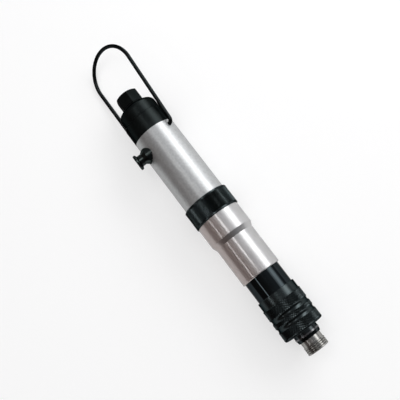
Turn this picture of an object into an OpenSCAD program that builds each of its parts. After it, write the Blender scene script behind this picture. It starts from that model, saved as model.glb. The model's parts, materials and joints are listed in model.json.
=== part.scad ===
// Straight air screwdriver: push to start, torque set by the knurled collar, hung by a wire bail.
// Every piece is drawn along the tool's axis, z = 0 at the mouth of the bit holder and z growing
// towards the air inlet, and then laid down: the nose points to +X and the tool rests on its
// coupling ring and on one leg of the bail.

/* [Bit holder] */
// Width across flats of the bit socket
bit_af = 6.35; // [5:0.05:7]
// Diameter of the spindle around the bit socket
spindle_d = 11; // [10:0.1:11.8]
// Diameter of the ribbed grip of the bit sleeve
sleeve_rib_d = 17.3; // [17:0.1:18.5]
// Length of the ribbed grip
sleeve_rib_len = 6; // [5:0.1:7.5]
// Diameter of the plain neck of the bit sleeve
sleeve_neck_d = 16.4; // [15.8:0.1:16.8]
// Length of the neck that shows below the nose
sleeve_neck_len = 4.35; // [4:0.05:6]
// Ribs around the grip
sleeve_ribs = 4; // [3:1:6]
// How far the sleeve is pulled forward to free a bit
sleeve_travel = 3.5; // [2.5:0.1:4]
// How far the spindle is pushed in to start the motor
push_travel = 3; // [2:0.1:4]

/* [Nose] */
// Diameter of the nose
nose_d = 19.65; // [19.2:0.05:22]
// Length of the nose that shows below the collar
nose_len = 6.45; // [5.5:0.05:9]
// Diameter of the thin ring around the nose
nose_ring_d = 20.25; // [20.1:0.05:22.5]
// Thickness of the thin ring
nose_ring_t = 1.1; // [0.8:0.1:1.6]
// How much the nose narrows below the ring, on the radius
nose_taper = 0.6; // [0.3:0.05:0.9]

/* [Torque collar] */
// How far the plain band stands out over the tube
collar_wall = 1.2; // [1.1:0.05:2]
// How far the knurled bands stand out over the plain one
knurl_proud = 0.55; // [0.5:0.05:1.2]
// Depth of the two round grooves between the knurled bands
collar_groove_depth = 0.75; // [0.4:0.05:0.9]
// Length of the knurled band next to the nose
collar_low_band = 8.1; // [6:0.1:11]
// Length of the middle knurled band
collar_mid_band = 3.6; // [2.5:0.1:6]
// Length of the knurled band next to the plain one
collar_high_band = 8.2; // [7:0.1:11]
// Width of the two grooves between the bands
collar_groove = 3.4; // [2.5:0.1:5]
// Length of the plain band
collar_plain_len = 6.6; // [5:0.1:9]
// Travel of the collar towards the nose
adjust_down = 2; // [1:0.1:2.2]
// Travel of the collar towards the inlet
adjust_up = 8; // [5:0.5:9]

/* [Clutch] */
// Diameter of the tube that the collar runs on
tube_d = 29.1; // [27.5:0.1:31]
// Length of tube that shows above the collar
tube_gap = 16.4; // [13:0.1:22]
// How far the slim part of the clutch housing stands out over the tube
clutch_lip = 1.45; // [1.2:0.05:2.5]
// Length of the slim part
clutch_low_len = 32.1; // [30:0.1:40]
// Length of the rounded step between the two diameters
clutch_step_len = 3.9; // [3:0.1:6]
// How far the wide part stands out over the slim one
clutch_step = 1.65; // [1:0.05:2.2]
// Length of the wide part
clutch_high_len = 16.8; // [14:0.1:22]
// Number of clutch balls
clutch_ball_count = 6; // [4:1:8]
// Diameter of a clutch ball
clutch_ball_d = 4; // [3:0.1:4.4]

/* [Coupling ring] */
// Diameter of the knurled coupling ring
ring_d = 37.1; // [35:0.1:39]
// Length of the coupling ring
ring_len = 16.1; // [13:0.1:20]

/* [Motor] */
// Diameter of the motor barrel
barrel_d = 34; // [33.2:0.1:36]
// Length of the motor barrel that shows
barrel_len = 65.2; // [58:0.1:80]
// Wall of the motor's liner where it is thinnest
liner_wall = 1.75; // [1.4:0.05:2.5]
// Number of rotor vanes
vane_count = 5; // [4:1:6]
// Thickness of a vane
vane_t = 1.5; // [1:0.1:2]

/* [Gears] */
// Wall of the ring gear behind its teeth
ring_gear_wall = 2.2; // [1.8:0.05:3]
// Teeth of the sun pinion
sun_teeth = 12; // [12:3:15]
// Teeth of each planet gear
planet_teeth = 15; // [12:3:18]
// Face width of the planet gears
planet_w = 9; // [7:0.1:9.4]
// Diameter of a planet pin
planet_pin_d = 3; // [2.4:0.1:3.6]

/* [Rear head] */
// Length of the lower tier, as wide as the barrel
head_low_len = 14.3; // [12:0.1:18]
// Diameter of the upper tier
head_high_d = 32; // [28:0.1:33]
// Length of the upper tier, up to the edge of the shoulder
head_high_len = 9.6; // [8:0.1:14]
// Length of the sloping shoulder
shoulder_len = 3.3; // [2.5:0.1:6]
// Rounding between the upper tier and the shoulder
shoulder_round = 4.5; // [2:0.1:6]
// Diameter at the top of the shoulder
shoulder_top_d = 20; // [19.8:0.1:22]

/* [Air inlet] */
// Width across flats of the inlet hexagon
inlet_af = 17; // [16.5:0.1:19]
// Turn of the hexagon from corner up
inlet_turn = 10.5; // [0:0.5:30]
// Length of the inlet hexagon
inlet_len = 11.3; // [10:0.1:14]
// Bore of the pipe thread
inlet_bore_d = 11.44; // [10.6:0.02:12]
// Depth of the pipe thread
inlet_depth = 12; // [9:0.5:14]

/* [Bail] */
// Diameter of the bail wire
wire_d = 3; // [2.6:0.1:3.6]
// Width of the arch between the middles of the wire
bail_w = 45.1; // [44:0.1:48]
// Height of the bail from its pivot to the middle of the wire at the top
bail_h = 86.5; // [75:0.5:100]
// Angle by which each leg closes in towards its pin
leg_lean = 2.1; // [0:0.1:2.4]
// Angle of the bail's pivot from upright
bail_turn = 51.8; // [49:0.1:60]
// Radius of the bends at the two ends, to the middle of the wire
bail_bend = 3.2; // [3:0.1:4]
// Distance of the pivot below the top edge of the barrel
pivot_drop = 4.2; // [3.8:0.1:4.8]

/* [Reverse button] */
// Angle from the upper end of the bail's pivot to the button
button_from_bail = 140; // [130:1:142]
// Distance of the button's axis beside the tool's axis
button_offset = 7; // [5:0.1:7.5]
// Distance of the button's axis below the top edge of the barrel
button_drop = 13.1; // [13:0.1:14]
// Diameter of the bushing that stands out of the barrel
boss_d = 13.2; // [12:0.1:13.2]
// How far the bushing stands out of the barrel
boss_out = 1.4; // [0.6:0.1:3]
// Length of the bushing's cone
boss_cone = 3; // [1.5:0.1:3]
// Diameter of the button's stem
stem_d = 8.8; // [8:0.1:9]
// Diameter of the button's cap
cap_d = 12.6; // [11:0.1:13]
// Thickness of the cap
cap_len = 2.9; // [2.5:0.1:3.2]
// How far the button is pressed in
press_travel = 2.8; // [2:0.1:3]

/* [Hidden] */
// Radial gap of a running fit, of two fixed pieces, of two free pieces, and gap at a stop
run = 0.08;
fixed = 0.05;
free = 0.3;
stop = 0.1;
// Overshoot of a cut past a face
cut = 0.5;
$fn = 64;
// Steps of a rounded corner
corner_steps = 6;

// Stations along the axis, from the nose to the inlet
z_nose = sleeve_rib_len + sleeve_neck_len;
z_collar = z_nose + nose_len;
z_groove_low = z_collar + collar_low_band;
z_mid_band = z_groove_low + collar_groove;
z_groove_high = z_mid_band + collar_mid_band;
z_high_band = z_groove_high + collar_groove;
z_plain_band = z_high_band + collar_high_band;
z_collar_top = z_plain_band + collar_plain_len;
z_clutch = z_collar_top + tube_gap;
z_step_low = z_clutch + clutch_low_len;
z_step_high = z_step_low + clutch_step_len;
z_ring = z_step_high + clutch_high_len;
z_barrel = z_ring + ring_len;
z_joint = z_ring + ring_len / 2;
z_head = z_barrel + barrel_len;
z_tier = z_head + head_low_len;
z_shoulder = z_tier + head_high_len;
z_hex = z_shoulder + shoulder_len;
z_top = z_hex + inlet_len;

// Edge breaks of turned pieces
edge = 0.5;

// Coil springs: rise of a closed end turn in wire diameters, and the mesh of the wire
closed_rise = 1.08;
coil_steps = 12;
coil_sides = 6;

// Ball bearings: number of balls, and the shares of the ring's depth that ball and shoulder take
bearing_balls = 8;
ball_share = 0.28;
shoulder_share = 0.45;

// Bit holder: snap ring, spring, land over the balls and release recess, one above the other
spindle_r = spindle_d / 2;
snap_z = 1.2;
snap_t = 1;
snap_grip = 0.7;
sleeve_wire = 0.7;
sleeve_turns = 5;
sleeve_wall = 1;
sleeve_bore_r = sleeve_neck_d / 2 - sleeve_wall;
spring_spare = 0.4;
land_z = snap_z + snap_t + sleeve_travel + sleeve_wire * sleeve_turns + spring_spare;
bit_ball_d = 3;
land_len = bit_ball_d + edge;
recess_len = 3;
z_ball = land_z + land_len / 2;
z_sleeve_top = land_z + land_len + recess_len;
ball_r_pos = spindle_r + run - fixed - bit_ball_d / 2;
bit_end = 2;
bit_depth = z_ball + bit_ball_d / 2 + bit_end;
rib_depth = 0.35;
rib_pitch = (sleeve_rib_len - 2 * edge) / sleeve_ribs;

// Nose: pocket for the sleeve, bush for the spindle, flange and thread in the tube
nose_r = nose_d / 2;
sleeve_pocket_r = sleeve_neck_d / 2 + free;
z_pocket_top = z_sleeve_top + push_travel + free;
bush_lip = 1.5;
bush_wall = 2.4;
bush_r = spindle_r + bush_wall;
flange_inset = 0.7;
flange_t = 4.5;
nose_thread_len = 9.5;
z_flange = z_collar + flange_inset;
z_tube = max(z_flange + flange_t, z_pocket_top + bush_lip + edge);
z_nose_top = z_tube + nose_thread_len;
nose_ring_z = z_nose + nose_len / 2;
nose_ring_grip = 0.6;

// Tube, spring seat and its pins
tube_r = tube_d / 2;
tube_wall = 2.55;
tube_bore_r = tube_r - tube_wall;
tube_thread_len = 11.5;
tube_thread_wall = 1.15;
thread_r = tube_bore_r + tube_thread_wall;
seat_pins_count = 3;
seat_pin_d = 3;
seat_t = 5;
seat_gap = 2;
pin_proud = 0.65;
z_pin = z_nose_top + adjust_down + seat_gap + seat_t / 2;
z_seat_top = z_pin + seat_t / 2;
pin_tip_r = tube_r + pin_proud;
slot_w = seat_pin_d + 2 * free;
collar_bore_r = tube_r + free;
collar_groove_r = pin_tip_r + free;
collar_edge = 1.2;
collar_plain_d = tube_d + 2 * collar_wall;
collar_knurl_d = collar_plain_d + 2 * knurl_proud;
knurl_r = collar_knurl_d / 2;
band_round = 0.4;

// Spindle above the bush: stop collar, plain shaft and driving hexagon
stop_step = 1.7;
stop_r = spindle_r + stop_step;
stop_t = 2.4;
shaft_r = spindle_r - edge;
drive_spare = 1;
drive_af = 8;
drive_gap = 0.1;

// Gear chamber, carrier bearing and clutch, counted down from the gear floor
step_round = 1;
clutch_low_d = tube_d + 2 * clutch_lip;
clutch_high_d = clutch_low_d + 2 * clutch_step;
gear_inset = 1.5;
ring_wall = 2.3;
spigot_wall = 1.75;
z_gear = z_step_high + gear_inset;
spigot_r = ring_d / 2 - ring_wall;
bore_r = spigot_r - spigot_wall;
carrier_bearing_len = 7;
carrier_shaft_r = 6;
bearing_seat_r = thread_r + fixed;
z_carrier_bearing = z_gear - carrier_bearing_len;
driver_t = 4.9;
driver_hub_r = 4.6;
thrust_out_r = tube_bore_r - free;
clutch_r = thrust_out_r + stop;
clutch_room = 0.6;
clutch_bore_r = clutch_r + clutch_room;
driver_gap = 0.8;
z_driver_top = z_carrier_bearing - driver_gap;
z_driver = z_driver_top - driver_t;
clutch_gap = 1.4;
z_plate_top = z_driver - clutch_gap;
plate_t = 5.4;
z_plate = z_plate_top - plate_t;
plate_hub_len = 6.5;
plate_hub_r = 6.8;
ball_inset = 3.2;
ball_circle_r = clutch_r - ball_inset;
z_clutch_ball = z_driver - clutch_gap / 2;
pocket_r = clutch_ball_d / 2 + fixed;
z_spindle_top = z_driver - push_travel - free;
thrust_ball_d = 2.2;
thrust_balls = 12;
thrust_washer_t = 1.2;
thrust_in_r = plate_hub_r + free;
z_thrust = z_plate - 2 * fixed - thrust_ball_d - thrust_washer_t;
spring_wire = 1.8;
spring_turns = 9;
spring_room = 1.5;
spring_mean_r = tube_bore_r - spring_room - spring_wire / 2;
bore_step = 2;
z_bore_step = z_clutch + tube_thread_len + bore_step;

// Gears
ring_teeth = sun_teeth + 2 * planet_teeth;
ring_gear_len = 15;
planet_count = 3;
pressure_angle = 25;
addendum = 0.9;
dedendum = 1.2;
ring_addendum = 0.8;
ring_dedendum = 1.25;
gear_module = (bore_r - fixed - ring_gear_wall) / (ring_teeth / 2 + ring_dedendum);
orbit_r = gear_module * (sun_teeth + planet_teeth) / 2;
backlash = 0.12;
flank_steps = 4;
carrier_t = 3.5;
carrier_r = gear_module * (ring_teeth / 2 - ring_addendum) - 2 * free;
carrier_lift = 0.5;
z_carrier = z_gear + carrier_lift;
z_planet = z_carrier + carrier_t + free;
z_pin_top = z_planet + planet_w + edge;
pin_sink = 3;
rod_d = 2.5;
rod_room_r = rod_d / 2 + free;
// A sun with a tooth under an even planet's tooth is turned by half a tooth
sun_turn = planet_teeth % 2 == 0 ? 180 / sun_teeth : 0;

// Motor: plates, liner, rotor and bearings
z_front = z_gear + ring_gear_len;
front_plate_len = 11;
z_liner = z_front + front_plate_len;
rear_plate_len = 10;
block_len = 20.2;
head_spigot_len = 6.4;
z_block = z_head - head_spigot_len - block_len;
z_rear = z_block - rear_plate_len;
shaft_d = 8;
bearing_len = 7;
front_bearing_d = 22;
rear_bearing_d = 19;
plate_hole_r = shaft_d / 2 + free;
rotor_gap = 0.3;
liner_offset = 1.1;
liner_bore_r = bore_r - fixed - liner_wall - liner_offset;
rotor_d = 2 * (liner_bore_r - liner_offset - rotor_gap);
rotor_r = rotor_d / 2;
rotor_end_gap = 0.3;
vane_root_r = 5.2;
vane_gap = 0.1;
pinion_spigot_r = 2.4;
pinion_spigot_len = 7;
port_d = 2.4;
port_count = 5;
dowel_d = 1.6;
dowel_r_pos = (liner_bore_r - liner_offset + bore_r) / 2;

// Barrel top, valve block and reverse valve
barrel_r = barrel_d / 2;
top_wall = 4;
top_bore_r = barrel_r - top_wall;
block_r = top_bore_r - fixed;
z_button = z_head - button_drop;
button_angle = bail_turn - button_from_bail;
boss_r = boss_d / 2;
boss_in = 8;
boss_face = barrel_r + boss_out;
boss_face_w = 0.4;
stem_r = stem_d / 2;
boss_face_r = stem_r + boss_face_w;
spool_bore_r = stem_r + run;
spring_floor = 3.4;
clip_proud = 0.9;
clip_r = stem_r + clip_proud;
clip_t = 0.8;
clip_inset = 0.6;
clip_room_r = clip_r + free;
spool_in = spring_floor + press_travel + stop;
spool_out = barrel_r;
spring_hole_r = 2.45;
spring_hole_in = 12;
reverse_wire = 0.5;
reverse_turns = 7;
cap_in = boss_face + press_travel + free;
cap_out = cap_in + cap_len;
cap_rim = 1.9;
cap_round = 0.7;
seal_d = 1.1;
seal_places = [10.5, 14.5];
passage_r = 2;
passage_place_r = 9;
passage_turn = 125;

// Rear head, throttle and inlet
head_seal_d = 1.4;
head_seal_drop = 2.2;
head_seal_z = z_head - head_seal_drop;
chamber_r = 8;
seat_ring_lift = 3.4;
z_seat_ring = z_head + seat_ring_lift;
seat_ring_t = 2.5;
z_valve = z_seat_ring + seat_ring_t;
seat_hole_r = 3.5;
valve_r = 5.5;
valve_t = 3;
air_way_r = 4.5;
inlet_spigot_len = 10.8;
z_spigot = z_hex - inlet_spigot_len;
throttle_wire = 0.7;
throttle_turns = 5;
throttle_mean_r = 4;
lip_hole_r = 3;
lip_t = 2;
strainer_r = 4.4;
strainer_wall = 0.5;
strainer_flange_r = 5.1;
strainer_flange_t = 1;
strainer_holes = 6;
strainer_hole_r = 0.7;
strainer_hole_place = 2.4;
z_thread = z_top - inlet_depth;
hex_chamfer = 30;
hex_face_in = 0.2;
tier_round = 0.8;

// Bail: its two pins turn in blind holes of the barrel, and its legs close in towards them
wire_r = wire_d / 2;
arch_r = bail_w / 2;
arch_rise = bail_h - arch_r;
z_pivot = z_head - pivot_drop;
pivot_depth = 3.2;
pivot_in = barrel_r - pivot_depth;
leg_len = (arch_rise - arch_r * sin(leg_lean) - bail_bend * (1 - sin(leg_lean))) / cos(leg_lean);
bend_x = (arch_r - bail_bend) * cos(leg_lean) - leg_len * sin(leg_lean);
joint_proud = 0.02;

// The bail leans on its pivot until its arch lies as low as the coupling ring: the fall of the
// bail per length solves arch_rise * fall + sqrt(level_drop^2 + (arch_r * fall)^2) = rest_drop
rest_drop = ring_d / 2 - wire_r;
level_drop = arch_r * cos(bail_turn);
fall_scale = arch_rise ^ 2 - arch_r ^ 2;
fall = (rest_drop * arch_rise
    - sqrt((rest_drop * arch_rise) ^ 2 - fall_scale * (rest_drop ^ 2 - level_drop ^ 2))) / fall_scale;
bail_lean = asin(fall / sin(bail_turn));

// Lays a piece drawn along z down on the bench, nose to +X
module laid(colour) {
    color(colour) rotate([0, -90, 0]) children();
}

// Turns a piece drawn along z into a radial one at a height and an angle around the tool
module radial(z, angle) {
    translate([0, 0, z]) rotate([0, 0, angle]) rotate([0, 90, 0]) children();
}

// Turns a piece drawn along z onto the button's axis, which passes beside the tool's axis
module along_button() {
    translate([0, 0, z_button]) rotate([0, 0, button_angle]) translate([0, button_offset, 0])
        rotate([0, 90, 0]) children();
}

module disc(r, z0, z1) {
    translate([0, 0, z0]) cylinder(r = r, h = z1 - z0);
}

module ring(r_out, r_in, z0, z1) {
    translate([0, 0, z0]) rotate_extrude() translate([r_in, 0]) square([r_out - r_in, z1 - z0]);
}

module torus(r, section_r, z) {
    translate([0, 0, z]) rotate_extrude() translate([r, 0]) circle(r = section_r, $fn = 24);
}

module around(count) {
    for (i = [0:count - 1]) rotate([0, 0, i * 360 / count]) children();
}

module hex_rod(af, z0, z1) {
    translate([0, 0, z0]) cylinder(r = af / sqrt(3), h = z1 - z0, $fn = 6);
}

// Points of a corner b between a and c, rounded with radius r
function unit(v) = v / norm(v);
function round_corner(a, b, c, r) =
    let (u = unit(a - b), w = unit(c - b), half = acos(u * w) / 2,
        middle = b + unit(u + w) * r / sin(half),
        from = b + u * r / tan(half) - middle, to = b + w * r / tan(half) - middle,
        start = atan2(from.y, from.x), swing = atan2(to.y, to.x) - start,
        turn = swing > 180 ? swing - 360 : swing < -180 ? swing + 360 : swing)
    [for (i = [0:corner_steps])
        let (angle = start + turn * i / corner_steps) middle + r * [cos(angle), sin(angle)]];

// Height of a coil spring's wire after a number of turns: one closed turn at each end
function coil_z(turn, turns, wire, length) =
    let (closed = wire * closed_rise, open = (length - wire - 2 * closed) / (turns - 2))
    wire / 2 + (turn < 1 ? turn * closed
        : turn < turns - 1 ? closed + (turn - 1) * open
        : closed + (turns - 2) * open + (turn - turns + 1) * closed);

module coil_spring(mean_r, wire, length, turns) {
    steps = coil_steps * turns;
    sides = coil_sides;
    points = [for (i = [0:steps], j = [0:sides - 1])
        let (turn = i * turns / steps, a = 360 * turn, b = 360 * j / sides,
            r = mean_r + wire / 2 * cos(b))
        [r * cos(a), r * sin(a), coil_z(turn, turns, wire, length) + wire / 2 * sin(b)]];
    skin = [for (i = [0:steps - 1], j = [0:sides - 1])
        let (k = (j + 1) % sides, low = i * sides, high = low + sides)
        [low + j, low + k, high + k, high + j]];
    start_cap = [for (j = [0:sides - 1]) sides - 1 - j];
    end_cap = [for (j = [0:sides - 1]) steps * sides + j];
    polyhedron(points, concat(skin, [start_cap, end_cap]));
}

// Involute gear outline: half the angle of a tooth at radius r, and the whole outline
function involute(a) = tan(a) * 180 / PI - a;
function tooth_half(r, pitch_r, width) =
    let (base = pitch_r * cos(pressure_angle))
    width / pitch_r * 90 / PI + involute(pressure_angle) - involute(acos(min(1, base / r)));
function polar(r, a) = [r * cos(a), r * sin(a)];
function gear_outline(teeth, width, root_r, tip_r) =
    let (pitch_r = teeth * gear_module / 2,
        foot = max(root_r, pitch_r * cos(pressure_angle)),
        radii = [for (k = [0:flank_steps]) foot + (tip_r - foot) * k / flank_steps])
    [for (i = [0:teeth - 1])
        let (c = 360 * i / teeth, h = tooth_half(foot, pitch_r, width))
        each concat(
            root_r < foot ? [polar(root_r, c - h)] : [],
            [for (k = [0:flank_steps]) polar(radii[k], c - tooth_half(radii[k], pitch_r, width))],
            [for (k = [flank_steps:-1:0]) polar(radii[k], c + tooth_half(radii[k], pitch_r, width))],
            root_r < foot ? [polar(root_r, c + h)] : [])];

module spur_gear(teeth, z0, z1) {
    pitch_r = teeth * gear_module / 2;
    translate([0, 0, z0]) linear_extrude(z1 - z0)
        polygon(gear_outline(teeth, PI * gear_module / 2 - backlash,
            pitch_r - dedendum * gear_module, pitch_r + addendum * gear_module));
}

// Ball bearing: the races share a ball track halfway between bore and rim
function track_r(bore, rim) = (bore + rim) / 2;
function bearing_ball_r(bore, rim) = (rim - bore) * ball_share;

module race_outer(bore, rim, z0, len) {
    ball_r = bearing_ball_r(bore, rim);
    track = track_r(bore, rim);
    difference() {
        ring(rim, track + ball_r * shoulder_share, z0, z0 + len);
        torus(track, ball_r + fixed, z0 + len / 2);
    }
    around(bearing_balls) translate([track, 0, z0 + len / 2]) sphere(r = ball_r);
}

module race_inner(bore, rim, z0, len) {
    ball_r = bearing_ball_r(bore, rim);
    track = track_r(bore, rim);
    difference() {
        ring(track - ball_r * shoulder_share, bore, z0, z0 + len);
        torus(track, ball_r + run, z0 + len / 2);
    }
}

// Wire bail: arch, two legs, two bends and the two pins that enter the barrel, with a small ball
// that closes the wire at each end of a leg
module bail_hanger() {
    laid("#1c1c1e") rotate([0, 0, bail_turn]) translate([0, 0, z_pivot]) rotate([-bail_lean, 0, 0]) {
        translate([0, 0, arch_rise]) rotate([90, 0, 0])
            rotate_extrude(angle = 180 + 2 * leg_lean, start = -leg_lean)
                translate([arch_r, 0]) circle(r = wire_r, $fn = 32);
        for (side = [0, 1]) mirror([side, 0, 0]) translate([bend_x, 0, 0]) {
            rotate([0, -90, 0]) cylinder(r = wire_r, h = bend_x - pivot_in - stop, $fn = 32);
            translate([0, 0, bail_bend]) {
                rotate([90, 0, 0]) rotate_extrude(angle = 90 - leg_lean, start = 270)
                    translate([bail_bend, 0]) circle(r = wire_r, $fn = 32);
                rotate([0, leg_lean, 0]) translate([bail_bend, 0, 0]) {
                    translate([0, 0, stop]) cylinder(r = wire_r, h = leg_len - 2 * stop, $fn = 32);
                    for (z = [0, leg_len]) translate([0, 0, z]) sphere(r = wire_r + joint_proud);
                }
            }
        }
    }
}

// Hexagon with a round-chamfered end, threaded spigot, pipe thread bore and strainer seat
module inlet_bushing() {
    face_r = inlet_af / 2 - hex_face_in;
    rim_r = inlet_af / sqrt(3) + edge;
    laid("#232427") difference() {
        union() {
            intersection() {
                rotate([0, 0, inlet_turn]) hex_rod(inlet_af, z_hex, z_top + cut);
                rotate_extrude() polygon([
                    [0, z_hex - edge], [rim_r, z_hex - edge],
                    [rim_r, z_top - (rim_r - face_r) * tan(hex_chamfer)],
                    [face_r, z_top], [0, z_top]]);
            }
            disc(chamber_r - fixed, z_spigot, z_hex + edge);
        }
        disc(inlet_bore_d / 2, z_thread, z_top + cut);
        disc(strainer_flange_r + fixed, z_thread - strainer_flange_t, z_thread + cut);
        disc(strainer_r + fixed, z_spigot + lip_t, z_thread);
        disc(lip_hole_r, z_spigot - cut, z_thread);
    }
}

module inlet_strainer() {
    z_low = z_spigot + lip_t;
    laid("#b08d3c") difference() {
        union() {
            disc(strainer_r, z_low, z_thread - strainer_flange_t);
            disc(strainer_flange_r, z_thread - strainer_flange_t, z_thread);
        }
        disc(strainer_r - strainer_wall, z_low + strainer_wall, z_thread + cut);
        around(strainer_holes) translate([strainer_hole_place, 0, z_low - cut])
            cylinder(r = strainer_hole_r, h = strainer_wall + 2 * cut);
    }
}

// Two-tier head that closes the barrel and holds the throttle
module rear_head() {
    tier_r = head_high_d / 2;
    step = [barrel_r, z_tier];
    brow = [tier_r, z_shoulder];
    crown = [shoulder_top_d / 2, z_hex];
    laid("#242528") difference() {
        rotate_extrude() polygon([
            [0, z_head - head_spigot_len], [block_r, z_head - head_spigot_len],
            [block_r, z_head], [barrel_r, z_head],
            each round_corner([barrel_r, z_head], step, [tier_r, z_tier], tier_round),
            [tier_r, z_tier],
            each round_corner([tier_r, z_tier], brow, crown, shoulder_round),
            crown, [0, z_hex]]);
        disc(chamber_r, z_seat_ring, z_hex + cut);
        disc(air_way_r, z_head - head_spigot_len - cut, z_seat_ring + cut);
        ring(block_r + cut, block_r + fixed - head_seal_d,
            head_seal_z - head_seal_d / 2 - fixed, head_seal_z + head_seal_d / 2 + fixed);
    }
}

module head_o_ring() {
    laid("#151515") torus(block_r + fixed - head_seal_d / 2, head_seal_d / 2 - fixed / 2, head_seal_z);
}

module throttle_seat() {
    laid("#c9a24a") ring(chamber_r - fixed, seat_hole_r, z_seat_ring, z_valve);
}

module throttle_valve() {
    laid("#3a3a3a") difference() {
        disc(valve_r, z_valve + fixed, z_valve + fixed + valve_t);
        ring(throttle_mean_r + throttle_wire, throttle_mean_r - throttle_wire,
            z_valve + fixed + valve_t - throttle_wire, z_valve + valve_t + cut);
    }
}

module throttle_spring() {
    z_low = z_valve + fixed + valve_t - throttle_wire + fixed;
    laid("silver") translate([0, 0, z_low])
        coil_spring(throttle_mean_r, throttle_wire, z_spigot - fixed - z_low, throttle_turns);
}

// Long rod from the spindle, through the hollow motor shaft, to the throttle valve
module push_rod() {
    laid("silver") disc(rod_d / 2, z_spindle_top + fixed, z_valve);
}

// Stepped bore of the reverse valve, through the barrel and into the valve block
module button_bore() {
    along_button() {
        translate([0, 0, boss_in]) cylinder(r = boss_r + fixed, h = barrel_r);
        translate([0, 0, spring_floor]) cylinder(r = clip_room_r, h = boss_in);
    }
}

// Motor barrel: threaded spigot, motor bore, narrower valve bore, button hole and bail holes
module motor_housing() {
    laid("#c8c8ca") difference() {
        rotate_extrude() polygon([
            [bore_r, z_joint], [spigot_r, z_joint], [spigot_r, z_barrel],
            [barrel_r - edge / 2, z_barrel], [barrel_r, z_barrel + edge / 2],
            [barrel_r, z_head], [top_bore_r, z_head], [top_bore_r, z_block], [bore_r, z_block]]);
        button_bore();
        for (side = [0, 180]) radial(z_pivot, bail_turn + side)
            translate([0, 0, pivot_in]) cylinder(r = wire_r + run, h = barrel_r);
    }
}

// Solid block behind the motor with the cross bore of the reverse valve and two air passages
module valve_block() {
    laid("#8d8f93") difference() {
        disc(block_r, z_block, z_head - head_spigot_len);
        disc(rod_room_r, z_block - cut, z_head);
        button_bore();
        for (side = [-1, 1]) rotate([0, 0, button_angle + side * passage_turn])
            translate([passage_place_r, 0, z_block - cut])
                cylinder(r = passage_r, h = block_len + 2 * cut);
    }
}

module reverse_bushing() {
    laid("#1f2022") along_button() rotate_extrude() polygon([
        [spool_bore_r, boss_in], [boss_r, boss_in], [boss_r, boss_face - boss_cone],
        [boss_face_r, boss_face], [spool_bore_r, boss_face]]);
}

// Mushroom button: stem, flared neck and flat cap with a rounded rim
module reverse_button() {
    cap_r = cap_d / 2;
    low_rim = [cap_r, cap_out - cap_rim];
    high_rim = [cap_r, cap_out];
    laid("#1a1a1c") along_button() rotate_extrude() polygon([
        [0, spool_out], [stem_r, spool_out], [stem_r, cap_in],
        each round_corner([stem_r, cap_in], low_rim, high_rim, cap_round),
        each round_corner(low_rim, high_rim, [0, cap_out], cap_round),
        [0, cap_out]]);
}

module reverse_spool() {
    laid("silver") along_button() difference() {
        disc(stem_r, spool_in, spool_out);
        disc(spring_hole_r, spool_in - cut, spring_hole_in);
        ring(stem_r + cut, stem_r - seal_d, spool_in + clip_inset, spool_in + clip_inset + clip_t);
        for (z = seal_places)
            ring(stem_r + cut, stem_r - seal_d, z - seal_d / 2 - fixed, z + seal_d / 2 + fixed);
    }
}

module reverse_clip() {
    clip_in = spool_in + clip_inset;
    laid("#777777") along_button()
        ring(clip_r, stem_r - seal_d + fixed, clip_in + fixed, clip_in + clip_t - fixed);
}

module spool_o_rings() {
    laid("#151515") along_button()
        for (z = seal_places) torus(stem_r - seal_d / 2, seal_d / 2 - fixed / 2, z);
}

module reverse_spring() {
    laid("silver") along_button() translate([0, 0, spring_floor + fixed])
        coil_spring(spring_hole_r - fixed - reverse_wire / 2 - run, reverse_wire,
            spring_hole_in - spring_floor - 2 * fixed, reverse_turns);
}

module dowel_hole(z0, z1) {
    translate([-dowel_r_pos, 0, z0]) cylinder(r = dowel_d / 2 + fixed, h = z1 - z0);
}

module rear_end_plate() {
    z_web = z_block - bearing_len;
    laid("#a9abad") difference() {
        disc(bore_r - fixed, z_rear, z_block);
        disc(rear_bearing_d / 2 + fixed, z_web, z_block + cut);
        disc(plate_hole_r, z_rear - cut, z_block);
        dowel_hole(z_rear - cut, z_web);
    }
}

module rear_bearing_outer() {
    laid("silver") race_outer(shaft_d / 2 + fixed, rear_bearing_d / 2, z_block - bearing_len, bearing_len);
}

module rear_bearing_inner() {
    laid("silver") race_inner(shaft_d / 2 + fixed, rear_bearing_d / 2, z_block - bearing_len, bearing_len);
}

// Liner with its bore off centre, and a row of exhaust ports where the chamber is widest
module cylinder_liner() {
    laid("#9c9ea1") difference() {
        disc(bore_r - fixed, z_liner, z_rear);
        translate([liner_offset, 0, z_liner - cut])
            cylinder(r = liner_bore_r, h = z_rear - z_liner + 2 * cut);
        dowel_hole(z_liner - cut, z_rear + cut);
        for (i = [1:port_count])
            translate([0, 0, z_liner + i * (z_rear - z_liner) / (port_count + 1)])
                rotate([0, 90, 0]) cylinder(d = port_d, h = bore_r + cut);
    }
}

// Hollow slotted rotor with a shaft at both ends
module rotor() {
    laid("#b4b5b8") difference() {
        union() {
            disc(rotor_r, z_liner + rotor_end_gap, z_rear - rotor_end_gap);
            disc(shaft_d / 2, z_front, z_block - fixed);
        }
        disc(rod_room_r, z_front - cut, z_block + cut);
        disc(pinion_spigot_r + fixed, z_front - cut, z_front + pinion_spigot_len);
        around(vane_count)
            translate([vane_root_r, -vane_t / 2 - vane_gap, z_liner + rotor_end_gap - cut])
                cube([rotor_r, vane_t + 2 * vane_gap, z_rear - z_liner - 2 * rotor_end_gap + 2 * cut]);
    }
}

module rotor_vanes() {
    laid("#6b4a2a") around(vane_count)
        translate([vane_root_r + vane_gap, -vane_t / 2, z_liner + rotor_end_gap])
            cube([rotor_r - vane_root_r - 2 * vane_gap, vane_t, z_rear - z_liner - 2 * rotor_end_gap]);
}

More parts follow.
